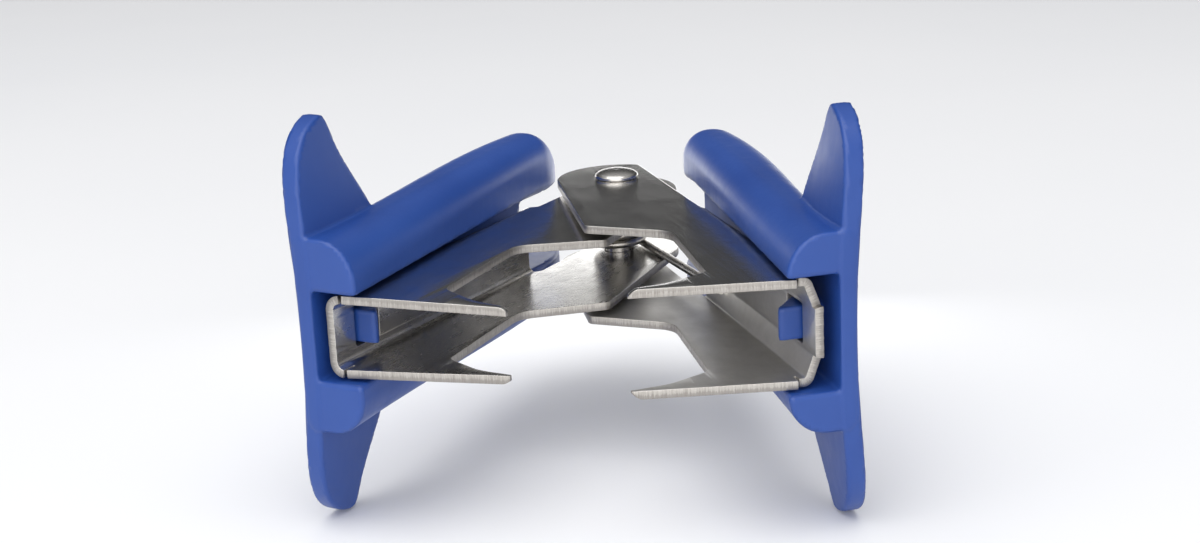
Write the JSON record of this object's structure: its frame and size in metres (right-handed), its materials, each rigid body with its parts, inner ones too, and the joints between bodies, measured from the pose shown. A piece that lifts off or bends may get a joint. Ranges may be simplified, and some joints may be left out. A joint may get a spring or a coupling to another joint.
{
  "type": "staple remover",
  "caption": "Jaw-type staple remover: nested fanged steel channels on a sprung rivet hinge, with moulded finger grips.",
  "frame": {"origin": "centre of the open object's bounding box, on its mid-plane", "axes": "+Z along the hinge rivet, fangs point to -Y, jaws open along X with the outer jaw at +X"},
  "size_m": [0.0506, 0.0486, 0.038],
  "materials": {
    "jaw_steel": "bright nickel plate, pale sheared edges",
    "blue_plastic": "semi-gloss moulded",
    "rivet_steel": "nickel plate, formed heads",
    "spring_steel": "drawn wire"
  },
  "bodies": {
    "outer_half": {"outer_jaw": "jaw_steel", "outer_grip": "blue_plastic", "pivot_rivet": "rivet_steel", "torsion_spring": "spring_steel"},
    "inner_half": {"inner_jaw": "jaw_steel", "inner_grip": "blue_plastic"}
  },
  "joints": [
    {"name": "jaw_pivot", "type": "hinge", "parent": "outer_half", "child": "inner_half", "pos_m": [0, 0.01792, 0], "axis": [0, 0, 1], "range_deg": [0, 29], "stiffness_Nm_per_rad": 0.45, "springref_deg": -11.46, "deforming": ["torsion_spring"]}
  ]
}
